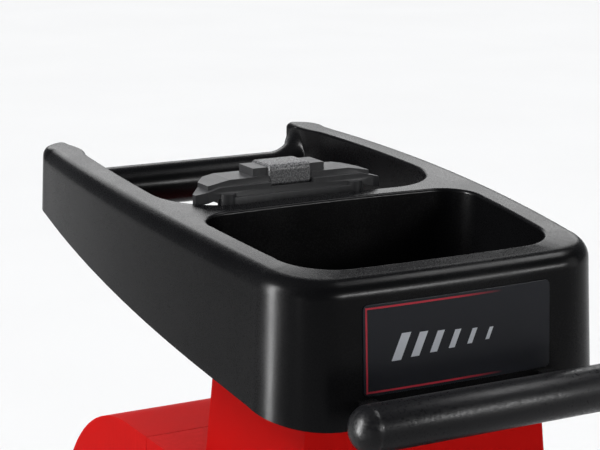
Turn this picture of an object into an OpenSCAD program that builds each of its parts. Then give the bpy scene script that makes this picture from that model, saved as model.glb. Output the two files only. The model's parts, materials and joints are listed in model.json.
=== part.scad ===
// Garden wood chipper with a slow cutting roller, a wide feed hopper and a collection box.
// Frame: +X to the right as seen from the front, +Y to the back, +Z up, the origin on the floor
// at the middle of the footprint. Inside each module Y is the distance behind the hopper's
// front face, and placed() moves it into the frame.

/* [Hopper] */
// Length of the hopper from its front face to the back of its arms
hopper_length = 551; // [540:1:560]
// Half width of the skirt where it is widest
hopper_half = 175.5; // [174:0.5:178]
// Height of the rim above the floor, one rim-slope reference length behind the front
rim_height = 930; // [925:1:935]
// Height of the skirt's lower edge at the front face
skirt_height = 798; // [796:1:800]
// Thickness of the moulded walls
wall = 3.5; // [3:0.5:4]
// Diameter of the front carrying grip
grip_dia = 39; // [36:1:40]
// Reach of the front grip's axis in front of the skirt
grip_axis_reach = 54.5; // [52:0.5:56]
// Diameter of the rear push bar
bar_dia = 44; // [40:1:44]

/* [Body] */
// Height of the base deck, on which the motor body stands
deck_height = 450; // [450:1:450]
// Height of the motor cover's flat top
cover_height = 704; // [700:1:706]
// Half width of the body
body_half = 150; // [150:1:150]
// Radius of the motor cover's rounded back
cover_round = 180; // [180:1:180]

/* [Cutter] */
// Height of the cutting roller's axis
roller_height = 550; // [550:1:550]
// Radius over the cutting ribs
roller_radius = 45; // [44:0.5:45]
// Number of cutting ribs
roller_ribs = 8; // [6:1:8]

/* [Gears] */
// Module of the motor stage
fast_module = 1.5; // [1.5:0.1:1.5]
// Module of the roller stage
slow_module = 2.5; // [2.5:0.1:2.5]
// Teeth on both pinions
pinion_teeth = 12; // [12:1:12]
// Teeth on the idler gear
idler_teeth = 72; // [72:1:72]
// Teeth on the roller's gear
output_teeth = 60; // [60:1:60]

/* [Base] */
// Half width over the base's side panels
base_half = 200; // [196:1:200]
// Radius of the wheels
wheel_radius = 90; // [90:1:90]
// Width of the wheels
wheel_width = 40; // [36:1:40]

/* [Hidden] */

$fn = 48;
eps = 0.02;
big = 1000;

plastic_black = [0.12, 0.12, 0.13];
plastic_red = [0.75, 0.07, 0.08];
rubber_black = [0.07, 0.07, 0.07];
steel = [0.62, 0.63, 0.65];
aluminium = [0.75, 0.76, 0.78];

// The footprint's middle is the origin, so the front face's place follows from the overall depth.
overall_depth = grip_axis_reach + grip_dia / 2 + hopper_length;
front_face_y = -overall_depth / 2 + grip_axis_reach + grip_dia / 2;

module placed() translate([0, front_face_y, 0]) children();

// A box from its low and high corners.
module block(low, high) translate(low) cube(high - low);

// A cylinder along Y from depth d0 to depth d1, about (x, z).
module along_y(x, z, d0, d1, r, sides = 48)
    translate([x, d1, z]) rotate([90, 0, 0]) cylinder(r = r, h = d1 - d0, $fn = sides);

// A cylinder along X from x0 to x1, about (d, z).
module along_x(d, z, x0, x1, r, sides = 48)
    translate([x0, d, z]) rotate([0, 90, 0]) cylinder(r = r, h = x1 - x0, $fn = sides);

// ---------------------------------------------------------------- hopper outlines
widest_at = 300;     // depth at which the hopper is widest
side_bow = 2.5;      // fall of the half width, per 100 mm squared, away from there
end_bow = 2;         // bow of the front and back edges, per 100 mm squared of x
rim_roll = 16;       // width of the rounded edge outside the flat rim
rim_flat = 18;       // width of the flat rim beside the openings
deck = 4;            // thickness of the rim's top
rise_reference = 166;
rim_rise = 7.2;      // rise of the rim per 100 mm of depth, at the reference depth
rim_crown = 0.7;     // how fast that rise falls off, per 100 mm squared
skirt_rise = 0.1656; // slope of the skirt's lower edge
divider = [215, 234];
basin_front = 28;
arm_inner_end = 505;
bar_reach = 128;     // half length of the rear bar

function side(d, inset) = hopper_half - inset - side_bow * pow((d - widest_at) / 100, 2);
function rim_z(d) = let (t = (d - rise_reference) / 100) rim_height + rim_rise * t - rim_crown * t * t;
function skirt_z(d) = skirt_height + skirt_rise * d;

// Right half of a rounded outline, from the front's middle to the back's middle.
function half_plan(d0, d1, inset, r0, r1, bow0, bow1, steps) =
    let (c0 = side(d0 + r0, inset) - r0,
         c1 = side(d1 - r1, inset) - r1,
         y0 = d0 + bow0 * pow(c0 / 100, 2) + r0,
         y1 = d1 - bow1 * pow(c1 / 100, 2) - r1)
    concat(
        [for (i = [0 : 2]) let (x = c0 * i / 3) [x, d0 + bow0 * pow(x / 100, 2)]],
        [for (i = [0 : steps]) let (a = -90 + 90 * i / steps) [c0 + r0 * cos(a), y0 + r0 * sin(a)]],
        [for (i = [1 : steps - 1]) let (d = y0 + (y1 - y0) * i / steps) [side(d, inset), d]],
        [for (i = [0 : steps]) let (a = 90 * i / steps) [c1 + r1 * cos(a), y1 + r1 * sin(a)]],
        [for (i = [1 : 3]) let (x = c1 * (1 - i / 3)) [x, d1 - bow1 * pow(x / 100, 2)]]);

function plan(d0, d1, inset, r0, r1, bow0, bow1, steps = 6) =
    let (right = half_plan(d0, d1, inset, r0, r1, bow0, bow1, steps))
    concat(right, [for (i = [len(right) - 2 : -1 : 1]) [-right[i][0], right[i][1]]]);

function skirt_plan(inset) =
    plan(inset, hopper_length - inset, inset, 55 - inset, 42 - inset, end_bow, end_bow);
function basin_plan(grow) =
    plan(basin_front - grow, divider[0] + grow, rim_roll + rim_flat - grow, 48, 32, end_bow, 3);
function arm_gap_plan(grow) =
    plan(divider[1] - grow, arm_inner_end + grow, rim_roll + rim_flat - grow, 62, 22, -3, 2);

// Everything between the skirt's sloping lower edge and the rim's crowned top, lowered by drop.
module rim_wedge(drop, below = 0) {
    top = [for (i = [8 : -1 : 0]) let (d = -10 + (hopper_length + 20) * i / 8) [d, rim_z(d) - drop]];
    bottom = [[-10, skirt_z(-10) - below], [hopper_length + 10, skirt_z(hopper_length + 10) - below]];
    rotate([90, 0, 90]) translate([0, 0, -200])
        linear_extrude(height = 400) polygon(concat(bottom, top));
}

module upright(points) translate([0, 0, 600]) linear_extrude(height = 500) polygon(points);

module hopper() color(plastic_black) placed() difference() {
    intersection() {
        upright(skirt_plan(0));
        rim_wedge(0);
    }
    // hollow under the rim, round the basin's and the arms' inner walls
    difference() {
        intersection() {
            upright(skirt_plan(wall));
            rim_wedge(deck, 50);
        }
        upright(basin_plan(wall));
        upright(arm_gap_plan(wall));
        for (s = [-1, 1])
            translate([s * (bar_reach + 9), hopper_length - 30, 850]) cube([18, 60, 300], center = true);
    }
    upright(basin_plan(0));
    upright(arm_gap_plan(0));
    block([-bar_reach, arm_inner_end - 60, 800], [bar_reach, hopper_length + 10, 1000]);
    for (s = [-1, 1]) // seats of the bar's screws
        along_x(bar_depth, bar_z, s > 0 ? bar_reach - 1 : -bar_reach - 19, s > 0 ? bar_reach + 19 : 1 - bar_reach, 3.1);
    for (x = [-bracket_x, bracket_x]) // seats of the carrying grip's screws
        along_y(x, bracket_z, -1, 12, 2.6);
}

// ---------------------------------------------------------------- funnel under the basin
throat_half = 85;
throat = [71, 181];
column_top = 811;
funnel_top = 836;

module throat_slab(grow, z) block([-throat_half - grow, throat[0] - grow, z], [throat_half + grow, throat[1] + grow, z + 1]);

module hopper_funnel() color(plastic_black) placed() difference() {
    union() {
        hull() {
            translate([0, 0, funnel_top]) linear_extrude(height = 1) polygon(basin_plan(-eps));
            throat_slab(4, column_top + 3);
        }
        block([-112, 50, column_top], [112, 200, column_top + 3]);
    }
    hull() {
        translate([0, 0, funnel_top]) linear_extrude(height = 2) polygon(basin_plan(-4));
        throat_slab(0, column_top + 3);
    }
    block([-throat_half, throat[0], column_top - 1], [throat_half, throat[1], column_top + 5]);
    for (x = [-103, 103], d = [60, 190]) translate([x, d, column_top - 1]) cylinder(r = 2.6, h = 5);
}

module hopper_screws() color(steel) placed() {
    for (x = [-103, 103], d = [60, 190]) { // through the funnel's flange into the column
        translate([x, d, column_top - 9]) cylinder(r = 2.5, h = 12);
        translate([x, d, column_top + 3]) cylinder(r = 5, h = 3);
    }
    for (s = [-1, 1]) { // into the ends of the rear bar
        along_x(bar_depth, bar_z, s > 0 ? bar_reach - 15 : -bar_reach - 18, s > 0 ? bar_reach + 18 : 15 - bar_reach, 3);
    }
}

// ---------------------------------------------------------------- grips and badge
bar_z = 898;
bar_depth = 519;
bracket_x = 88;
bracket_z = 810.5;
grip_half = 133;
grip_z = 813;

module rear_grip() color(plastic_black) placed() difference() {
    along_x(bar_depth, bar_z, -bar_reach, bar_reach, bar_dia / 2);
    for (s = [-1, 1])
        along_x(bar_depth, bar_z, s > 0 ? bar_reach - 15.2 : -bar_reach - 1, s > 0 ? bar_reach + 1 : 15.2 - bar_reach, 3.02);
}

// A round bar with domed ends.
module front_grip() color(rubber_black) placed() {
    r = grip_dia / 2;
    dome = 15;
    translate([-grip_half, -grip_axis_reach, grip_z]) rotate([0, 90, 0]) rotate_extrude()
        polygon(concat(
            [[0, 0]],
            [for (i = [1 : 8]) let (a = 90 * i / 8) [r * sin(a), dome * (1 - cos(a))]],
            [for (i = [8 : -1 : 1]) let (a = 90 * i / 8) [r * sin(a), 2 * grip_half - dome * (1 - cos(a))]],
            [[0, 2 * grip_half]]));
}

// Two stand-offs that carry the front grip, cut to the grip behind it and to the skirt's bow.
module front_grip_brackets() color(plastic_black) placed() difference() {
    for (s = [-1, 1]) difference() {
        block([s * bracket_x - 8, -grip_axis_reach, grip_z - 10], [s * bracket_x + 8, 1, grip_z + 4]);
        along_y(s * bracket_x, bracket_z, -grip_axis_reach + grip_dia / 2, 2, 2.6);
    }
    along_x(-grip_axis_reach, grip_z, -150, 150, grip_dia / 2 + 0.02);
    upright(skirt_plan(-0.02));
}

badge_half = 90;
badge_z = [821, 894];
badge_thick = 1.4;

// A thin plate that follows the skirt's bowed front.
module front_badge() color([0.03, 0.04, 0.07]) placed() {
    front = [for (p = skirt_plan(0)) if (p[1] < 3 && p[0] >= 0) p];
    across = [for (x = [-badge_half : 15 : badge_half]) [x, lookup(abs(x), front) - 0.06]];
    translate([0, 0, badge_z[0]]) linear_extrude(height = badge_z[1] - badge_z[0])
        polygon(concat([for (p = across) p - [0, badge_thick]],
                       [for (i = [len(across) - 1 : -1 : 0]) across[i]]));
}

// ---------------------------------------------------------------- pusher
pusher_x = -23;
pusher_d = [240, 288];
pusher_z = 930;
pusher_mid = 270;
blade_length = 225.6;
pusher_grip_half = 22;
wing_half = 96;

// Keeps the head's tiers inside an outline that narrows to both ends and to the back.
module head_outline(low, high) translate([0, 0, low]) linear_extrude(height = high - low) polygon([
    [-wing_half, 250], [-wing_half + 10, 244], [wing_half - 10, 244], [wing_half, 250],
    [wing_half, 256], [70, 288], [-70, 288], [-wing_half, 256]]);

module head_tier(half, drop, low, high, d0, d1) // flat in the middle, bent down towards both ends
    translate([0, d1, 0]) rotate([90, 0, 0]) linear_extrude(height = d1 - d0) polygon([
        [-half, low - drop], [-half + 22, low], [half - 22, low], [half, low - drop],
        [half, high - drop], [half - 22, high], [-half + 22, high], [-half, high - drop]]);

module pusher_head() color(plastic_black) placed() translate([pusher_x, 0, pusher_z]) difference() {
    union() {
        block([-68, pusher_d[0], 0], [68, pusher_d[1], 8.5]);
        for (x = [-66, 66]) translate([x, pusher_d[0] + 7, 0]) cylinder(r = 8.5, h = 12);
        intersection() {
            union() {
                head_tier(wing_half, 6, 8, 18, 244, 288);
                head_tier(wing_half - 12, 4, 14, 23.5, 249, 284);
            }
            head_outline(-5, 30);
        }
        for (s = [-1, 1]) // cheeks beside the grip
            block([s * 29.5 - 7.5, 252, 20], [s * 29.5 + 7.5, 280, 31]);
    }
    block([-pusher_grip_half, pusher_d[0] - 1, 14], [pusher_grip_half, pusher_d[1] + 1, 40]);
    block([-22, pusher_mid - 13, -1], [22, pusher_mid + 13, 15]);
}

module pusher_grip() color(rubber_black) placed() translate([pusher_x - pusher_grip_half, 0, pusher_z])
    rotate([90, 0, 90]) linear_extrude(height = 2 * pusher_grip_half) polygon(concat(
        [[248, 14], [286, 14]],
        [for (i = [0 : 6]) let (a = 90 * i / 6) [281 + 5 * cos(a), 28 + 5 * sin(a)]],
        [for (i = [6 : -1 : 0]) let (a = 90 * i / 6) [253 - 5 * cos(a), 28 + 5 * sin(a)]]));

module pusher_blade() color(plastic_black) placed() translate([pusher_x, 0, pusher_z]) {
    block([-21.9, pusher_mid - 12.9, -eps], [21.9, pusher_mid + 12.9, 14]);
    difference() {
        block([-55, pusher_mid - 13, -blade_length], [55, pusher_mid + 13, -eps]);
        for (s = [-1, 1]) // lightening pockets on both faces
            translate([0, pusher_mid + s * 13, -blade_length / 2])
                cube([90, 16, blade_length - 40], center = true);
    }
}

// Sheath behind the divider that the blade stands in, open at the top and the bottom.
module pusher_holder() color(plastic_black) placed() {
    mid = pusher_mid;
    low = 720;
    high = 895;
    difference() {
        union() {
            block([pusher_x - 60, mid - 18, low], [pusher_x + 60, mid + 18, high]);
            // bridges to the column's back wall
            for (x = [-70, 24]) block([x, holder_bridge, 740], [x + 12, mid - 18 + eps, 800]);
        }
        block([pusher_x - 56, mid - 14, low - 1], [pusher_x + 56, mid + 14, high + 1]);
    }
}
holder_bridge = 221.02;

// ---------------------------------------------------------------- red body
column_depth = [46, 221];
shoulder = 196;
seam = 300;
shell = 3;

function column_profile(inset) = [
    [-body_half + inset, deck_height - inset * 4], [body_half - inset, deck_height - inset * 4],
    [body_half - inset, 636], [body_half - 5 - inset, 658], [body_half - 16 - inset, 680],
    [126 - inset, cover_height], [118 - inset, 780], [116 - inset, column_top - inset],
    [-116 + inset, column_top - inset], [-118 + inset, 780], [-126 + inset, cover_height],
    [-body_half + 16 + inset, 680], [-body_half + 5 + inset, 658], [-body_half + inset, 636]];

// The column under the hopper and, behind it, the full-width front half of the motor housing.
module column_solid(inset) {
    translate([0, column_depth[1] - inset, 0]) rotate([90, 0, 0])
        linear_extrude(height = column_depth[1] - column_depth[0] - 2 * inset) polygon(column_profile(inset));
    block([-body_half + inset, shoulder + inset, deck_height - inset * 4],
          [body_half - inset, seam - 0.5 + inset * 6, cover_height - inset]);
}

knob_depth = 131;
module front_housing() color(plastic_red) placed() difference() {
    column_solid(0);
    column_solid(shell);
    block([-throat_half, throat[0], column_top - 10], [throat_half, throat[1], column_top + 1]);
    along_x(knob_depth, roller_height, body_half - 10, body_half + 10, 9.02);
    for (x = [-103, 103], d = [60, 190]) translate([x, d, column_top - 10]) cylinder(r = 2.52, h = 12);
}

module cover_solid(inset) {
    r = cover_round - inset;
    x = body_half - inset;
    rear = seam + 46;
    along_x(rear, cover_height - cover_round, -x, x, r, 96);
    block([-x, seam + 0.5 - inset * 6, cover_height - cover_round], [x, rear, cover_height - inset]);
    block([-x, seam + 0.5 - inset * 6, deck_height - inset * 4], [x, rear + r, cover_height - cover_round]);
}

grille_d = [364, 464];
grille_z = [530, 622];
inlet_z = 488;
cover_back = seam + 46 + cover_round;

module motor_cover() color(plastic_red) placed() difference() {
    intersection() {
        cover_solid(0);
        block([-big, seam + 0.5, deck_height], [big, big, big]);
    }
    cover_solid(shell);
    block([-big, grille_d[0], grille_z[0]], [big, grille_d[1], grille_z[1]]);
    block([-20, cover_back - 10, inlet_z - 20], [20, cover_back + 10, inlet_z + 20]);
    for (x = [-135, 135]) along_y(x, 470, cover_back - 10, cover_back + 10, 2.52);
}

// Slatted grilles let into both sides of the motor cover.
module vent_grilles() color(plastic_black) placed() for (s = [-1, 1]) mirror([s < 0 ? 1 : 0, 0, 0]) {
    x = [body_half - shell, body_half + 2];
    difference() {
        block([x[0], grille_d[0] + eps, grille_z[0] + eps], [x[1], grille_d[1] - eps, grille_z[1] - eps]);
        block([x[0] - 1, grille_d[0] + 6, grille_z[0] + 6], [x[1] + 1, grille_d[1] - 6, grille_z[1] - 6]);
    }
    for (i = [0 : 6]) {
        z = grille_z[0] + 12 + i * 11.3;
        block([x[0], grille_d[0] + 6, z - 1.5], [x[1] - 1, grille_d[1] - 6, z + 1.5]);
    }
}

module cover_screws() color(steel) placed() for (x = [-135, 135]) {
    along_y(x, 470, cover_back - 12, cover_back, 2.5);
    along_y(x, 470, cover_back, cover_back + 3, 5);
}

// ---------------------------------------------------------------- controls
panel_d = [38, 46];
start_pos = [-34, 628];
stop_pos = [0, 628];
turn_pos = [34, 628];
reset_pos = [0, 590];

module switch_panel() color(plastic_black) placed() difference() {
    union() {
        block([-58, panel_d[0], 568], [58, panel_d[1], 652]);
        block([-62, panel_d[1] - 3, 564], [62, panel_d[1], 656]);
    }
    for (p = [start_pos, stop_pos]) along_y(p[0], p[1], panel_d[0] - 1, panel_d[1] - 0.5, 12.5);
    along_y(reset_pos[0], reset_pos[1], panel_d[0] - 1, panel_d[1] - 0.5, 7.5);
    along_y(turn_pos[0], turn_pos[1], panel_d[0] - 1, panel_d[1] - 0.5, 4.05);
}

module start_button() color([0.1, 0.5, 0.2]) placed() along_y(start_pos[0], start_pos[1], 33, 42, 12);
module stop_button() color(plastic_red) placed() along_y(stop_pos[0], stop_pos[1], 33, 42, 12);
module reset_button() color(plastic_black) placed() along_y(reset_pos[0], reset_pos[1], 34, 42, 7);

module direction_knob() color(plastic_black) placed() {
    along_y(turn_pos[0], turn_pos[1], 33, panel_d[0] - 0.3, 13);
    along_y(turn_pos[0], turn_pos[1], panel_d[0] - 0.3, 45, 4);
    block([turn_pos[0] - 3.5, 24, turn_pos[1] - 13], [turn_pos[0] + 3.5, 33, turn_pos[1] + 13]);
}

module mains_inlet() color(plastic_black) placed() difference() {
    union() {
        block([-26, cover_back, inlet_z - 26], [26, cover_back + 4, inlet_z + 26]);
        block([-19.9, cover_back - 36, inlet_z - 19.9], [19.9, cover_back, inlet_z + 19.9]);
    }
    along_y(0, inlet_z, cover_back - 32, cover_back + 5, 17.5);
    for (x = [-9.5, 9.5]) along_y(x, inlet_z, cover_back - 37, cover_back - 30, 2.4);
}

module inlet_pins() color(steel) placed()
    for (x = [-9.5, 9.5]) along_y(x, inlet_z, cover_back - 35, cover_back - 13, 2.4);

// ---------------------------------------------------------------- feed chute and cutting chamber
chute_low = 602;

module feed_chute() color(plastic_black) placed() difference() {
    hull() {
        block([-throat_half - 3, throat[0] - 3, column_top - shell - 1], [throat_half + 3, throat[1] + 3, column_top - shell]);
        block([-40, 83, chute_low], [50, 179, chute_low + 1]);
    }
    hull() {
        block([-throat_half, throat[0], column_top - shell - 0.5], [throat_half, throat[1], column_top]);
        block([-37, 86, chute_low - 1], [47, 176, chute_low + 0.5]);
    }
}

chamber_front = [60, 72];
case_d = [186, 262];
cover_d = [262, 272];

// Cast frame with the front bearing and the chamber's closed side.
module cutter_frame() color(aluminium) placed() difference() {
    union() {
        block([-80, chamber_front[0], deck_height], [80, chamber_front[1], 600]);
        block([-68, chamber_front[1], deck_height], [-58, case_d[0], 600]);
    }
    along_y(0, roller_height, chamber_front[0] - 1, chamber_front[1] + 1, 21);
}

plate_face = roller_radius + 2.5;
module counter_plate() color(steel) placed() difference() {
    union() {
        block([plate_face, 88, 515], [plate_face + 12, 174, 588]);
        along_x(knob_depth, roller_height, plate_face + 12, plate_face + 38, 12);
    }
    along_x(knob_depth, roller_height, plate_face + 14, plate_face + 39, 5.05);
}

module adjusting_screw() color(steel) placed() {
    along_x(knob_depth, roller_height, plate_face + 22, body_half + 5, 5);
    along_x(knob_depth, roller_height, body_half - 12, body_half - 8.3, 8);
}

module screw_bush() color(steel) placed() difference() {
    union() {
        along_x(knob_depth, roller_height, body_half - 8, body_half, 9);
        along_x(knob_depth, roller_height, body_half, body_half + 2, 13);
    }
    along_x(knob_depth, roller_height, body_half - 9, body_half + 3, 5.05);
}

// Star knob with eight lobes.
module adjusting_knob() color(plastic_red) placed() difference() {
    union() {
        along_x(knob_depth, roller_height, body_half + 5, body_half + 30, 21);
        along_x(knob_depth, roller_height, body_half + 2.4, body_half + 5, 10);
        for (i = [0 : 7]) translate([body_half + 7, knob_depth, roller_height])
            rotate([45 * i, 0, 0]) translate([0, 0, 20]) rotate([0, 90, 0]) cylinder(r = 5.5, h = 21);
    }
    along_x(knob_depth, roller_height, body_half + 2, body_half + 5, 5.02);
}

// ---------------------------------------------------------------- gear train
motor_axis = [-7, roller_height + 56.57];
idler_axis = [-70, roller_height + 56.57];
pressure = 25;
backlash = 0.3;
out_d = [202, 226];
slow_pinion_d = [200, 228];
idler_d = [236, 252];
fast_pinion_d = [234, 254];
hex_out = 16;
hex_idler = 9.5;
hex_motor = 6;

function involute(rb, r) = let (a = acos(min(1, rb / r))) (tan(a) - a * PI / 180) * 180 / PI;

// Outline of a spur gear with straight-sided roots: four points up each involute flank.
function gear_points(m, z) =
    let (rp = m * z / 2, rb = rp * cos(pressure), ra = rp + m * 0.98, rf = rp - 1.25 * m,
         start = max(rb, rf + 0.01),
         half = 90 / z - backlash / 2 / rp * 180 / PI + involute(rb, rp))
    [for (k = [0 : z - 1])
        let (c = 360 * k / z)
        each concat(
            [for (p = [[rf, -half - (rf < rb ? 0 : -involute(rb, start))]]) [p[0] * cos(c + p[1]), p[0] * sin(c + p[1])]],
            [for (i = [0 : 3]) let (r = start + (ra - start) * i / 3, a = c - half + involute(rb, r)) [r * cos(a), r * sin(a)]],
            [for (i = [3 : -1 : 0]) let (r = start + (ra - start) * i / 3, a = c + half - involute(rb, r)) [r * cos(a), r * sin(a)]],
            [for (p = [[rf, half - (rf < rb ? 0 : involute(rb, start))]]) [p[0] * cos(c + p[1]), p[0] * sin(c + p[1])]])];

// A gear about a line along Y at axis [x, z], with a hexagonal bore, turned by turn degrees.
module gear(axis, d, m, z, hex, turn)
    translate([axis[0], d[1], axis[1]]) rotate([90, 0, 0]) difference() {
        rotate([0, 0, turn]) linear_extrude(height = d[1] - d[0]) polygon(gear_points(m, z));
        translate([0, 0, -1]) cylinder(r = hex, h = d[1] - d[0] + 2, $fn = 6);
    }

// A tooth of the followed gear lies on the line between the axes, and a gap of its mate faces it.
slow_line = atan2(idler_axis[1] - roller_height, idler_axis[0]);
idler_turn = 0;
output_turn = slow_line;
slow_pinion_turn = slow_line + 180 + 180 / pinion_teeth;

module output_gear() color(steel) placed()
    gear([0, roller_height], out_d, slow_module, output_teeth, hex_out, output_turn);
module idler_pinion() color(steel) placed()
    gear(idler_axis, slow_pinion_d, slow_module, pinion_teeth, hex_idler, slow_pinion_turn);
module idler_gear() color(steel) placed()
    gear(idler_axis, idler_d, fast_module, idler_teeth, hex_idler, idler_turn);
module motor_pinion() color(steel) placed()
    gear(motor_axis, fast_pinion_d, fast_module, pinion_teeth, 4.5, 180 + 180 / pinion_teeth);

module hex_along_y(axis, d, r) translate([axis[0], d[1], axis[1]]) rotate([90, 0, 0]) cylinder(r = r, h = d[1] - d[0], $fn = 6);

module idler_shaft() color(steel) placed() {
    along_y(idler_axis[0], idler_axis[1], case_d[0] + 1, slow_pinion_d[0], 8);
    hex_along_y(idler_axis, [slow_pinion_d[0], idler_d[1]], hex_idler - 0.02);
    along_y(idler_axis[0], idler_axis[1], idler_d[1], cover_d[1] - 1, 8);
}

module roller_shaft() color(steel) placed() {
    along_y(0, roller_height, chamber_front[0] + 1, out_d[0], 12.5);
    hex_along_y([0, roller_height], out_d, hex_out - 0.02);
    along_y(0, roller_height, out_d[1], cover_d[1] - 1, 10);
}

roller_d = [84, 176];
module cutting_roller() color(steel) placed() difference() {
    union() {
        along_y(0, roller_height, roller_d[0], roller_d[1], roller_radius - 7);
        for (i = [0 : roller_ribs - 1]) translate([0, roller_d[1] - 0.5, roller_height])
            rotate([90, 360 / roller_ribs * i, 0]) linear_extrude(height = roller_d[1] - roller_d[0] - 1)
                polygon([[roller_radius - 12, -5], [roller_radius, -4], [roller_radius - 0.4, 1], [roller_radius - 12, 7]]);
    }
    along_y(0, roller_height, roller_d[0] - 1, roller_d[1] + 1, 12.52);
}

// Ball bearings as plain rings: [x, z, d0, d1, bore, outside].
module shaft_bearings() color(steel) placed()
    for (b = [
        [0, roller_height, chamber_front[0] + 1, chamber_front[1] - 1, 12.54, 20.98],
        [0, roller_height, case_d[0] + 1, case_d[0] + 9, 12.54, 20.98],
        [0, roller_height, cover_d[0] + 1, cover_d[1] - 1, 10.04, 17.98],
        [idler_axis[0], idler_axis[1], case_d[0] + 1, case_d[0] + 9, 8.04, 14.98],
        [idler_axis[0], idler_axis[1], cover_d[0] + 1, cover_d[1] - 1, 8.04, 14.98],
        [motor_axis[0], motor_axis[1], cover_d[0] + 1, cover_d[1] - 1, 8.04, 15.98],
        [motor_axis[0], motor_axis[1], 426, 432, 8.04, 15.98]])
        difference() {
            along_y(b[0], b[1], b[2], b[3], b[5]);
            along_y(b[0], b[1], b[2] - 1, b[3] + 1, b[4]);
        }

case_x = [-134, 88];
case_z = [464, 671];
bolt_places = [[case_x[0] + 3.2, case_z[0] + 30], [case_x[1] - 3.2, case_z[0] + 30],
               [case_x[0] + 3.2, case_z[1] - 30], [case_x[1] - 3.2, case_z[1] - 30]];

module gearbox_case() color(aluminium) placed() difference() {
    union() {
        block([case_x[0], case_d[0], case_z[0]], [case_x[1], case_d[1], case_z[1]]);
        for (x = [case_x[0], case_x[1] - 34]) block([x, case_d[0], deck_height], [x + 34, case_d[1], case_z[0]]);
    }
    block([case_x[0] + 6.5, case_d[0] + 10, case_z[0] + 6], [case_x[1] - 6.5, case_d[1] + 1, case_z[1] - 6]);
    along_y(0, roller_height, case_d[0] - 1, case_d[0] + 12, 21);
    along_y(idler_axis[0], idler_axis[1], case_d[0] - 1, case_d[0] + 12, 15);
    for (b = bolt_places) along_y(b[0], b[1], case_d[1] - 12, case_d[1] + 1, 2.02);
}

module gearbox_cover() color(aluminium) placed() difference() {
    block([case_x[0], cover_d[0], case_z[0]], [case_x[1], cover_d[1], case_z[1]]);
    along_y(0, roller_height, cover_d[0] - 1, cover_d[1] + 1, 18);
    along_y(idler_axis[0], idler_axis[1], cover_d[0] - 1, cover_d[1] + 1, 15);
    along_y(motor_axis[0], motor_axis[1], cover_d[0] - 1, cover_d[1] + 1, 16);
    for (b = bolt_places) along_y(b[0], b[1], cover_d[0] - 1, cover_d[1] + 1, 2.02);
}

module gearbox_bolts() color(steel) placed() for (b = bolt_places) {
    along_y(b[0], b[1], cover_d[0] - 11, cover_d[1], 2);
    along_y(b[0], b[1], cover_d[1], cover_d[1] + 3, 3.1);
}

// ---------------------------------------------------------------- motor
can_d = [276, 426];
can_radius = 62;

module motor_shaft() color(steel) placed() {
    hex_along_y(motor_axis, fast_pinion_d, 4.48);
    along_y(motor_axis[0], motor_axis[1], fast_pinion_d[1], 454, 8);
}

module motor_rotor() color(steel) placed() difference() {
    along_y(motor_axis[0], motor_axis[1], 290, 410, 33.3);
    along_y(motor_axis[0], motor_axis[1], 289, 411, 8.02);
}

// Laminated ring with the winding heads standing out at both ends.
module motor_stator() color([0.55, 0.3, 0.15]) placed() difference() {
    union() {
        along_y(motor_axis[0], motor_axis[1], 296, 404, can_radius - 3.02);
        along_y(motor_axis[0], motor_axis[1], 284, 416, 52);
    }
    along_y(motor_axis[0], motor_axis[1], 283, 417, 34);
}

module motor_can() color(plastic_black) placed() difference() {
    union() {
        along_y(motor_axis[0], motor_axis[1], can_d[0], can_d[1], can_radius);
        along_y(motor_axis[0], motor_axis[1], cover_d[1], can_d[0], 48);
    }
    along_y(motor_axis[0], motor_axis[1], can_d[0] + 3, can_d[1] + 1, can_radius - 3);
    along_y(motor_axis[0], motor_axis[1], cover_d[1] - 1, can_d[0] + 4, 20);
}

module motor_end_cap() color(aluminium) placed() difference() {
    union() {
        along_y(motor_axis[0], motor_axis[1], can_d[1], can_d[1] + 6, can_radius);
    }
    along_y(motor_axis[0], motor_axis[1], can_d[1] - 1, can_d[1] + 7, 16);
    for (i = [0 : 7]) translate([motor_axis[0], 0, motor_axis[1]]) rotate([0, 45 * i, 0])
        along_y(38, 0, can_d[1] - 1, can_d[1] + 7, 9);
}

module cooling_fan() color(plastic_black) placed() difference() {
    union() {
        along_y(motor_axis[0], motor_axis[1], 436, 438, 50);
        along_y(motor_axis[0], motor_axis[1], 436, 450, 14);
        for (i = [0 : 8]) translate([motor_axis[0], 0, motor_axis[1]]) rotate([0, 40 * i, 0])
            block([12, 437, -1.2], [49, 450, 1.2]);
    }
    along_y(motor_axis[0], motor_axis[1], 435, 452, 8.02);
}

module run_capacitor() color([0.8, 0.8, 0.82]) placed() {
    along_y(100, deck_height + 20.02, 320, 400, 20);
    for (x = [94, 106]) along_y(x, deck_height + 20, 400, 408, 2);
}

module motor_cradle() color(aluminium) placed() difference() {
    block([motor_axis[0] - 42, 296, deck_height], [motor_axis[0] + 42, 404, motor_axis[1] - 30]);
    along_y(motor_axis[0], motor_axis[1], 290, 410, can_radius + 0.02);
    block([motor_axis[0] - 34, 295, deck_height + 8], [motor_axis[0] + 34, 405, motor_axis[1] - can_radius - 12]);
}

// ---------------------------------------------------------------- base
base_d = [22, 528];
deck_low = 438;
panel_low = 22;
axle_d = hopper_length - wheel_radius;

module base_deck() color(plastic_black) placed() difference() {
    union() {
        block([-base_half, base_d[0], deck_low], [base_half, base_d[1], deck_height]);
        for (s = [-1, 1]) { // keepers beside the latch, with lips in front of it
            block([s * 20.2 - 3.8, 2, deck_low], [s * 20.2 + 3.8, base_d[0], 462]);
            block([s * 18 - 6, 2, deck_low], [s * 18 + 6, 5.6, 462]);
        }
    }
    block([-54, 76, deck_low - 1], [64, 182, deck_height + 1]);
}

// One moulded side: a panel with a raised field, a post at each end, a foot under each post,
// a boss for the wheel and a ledge that the box hangs from.
post = 24;
arch_d = [130, 380];
arch_z = 66;

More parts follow.
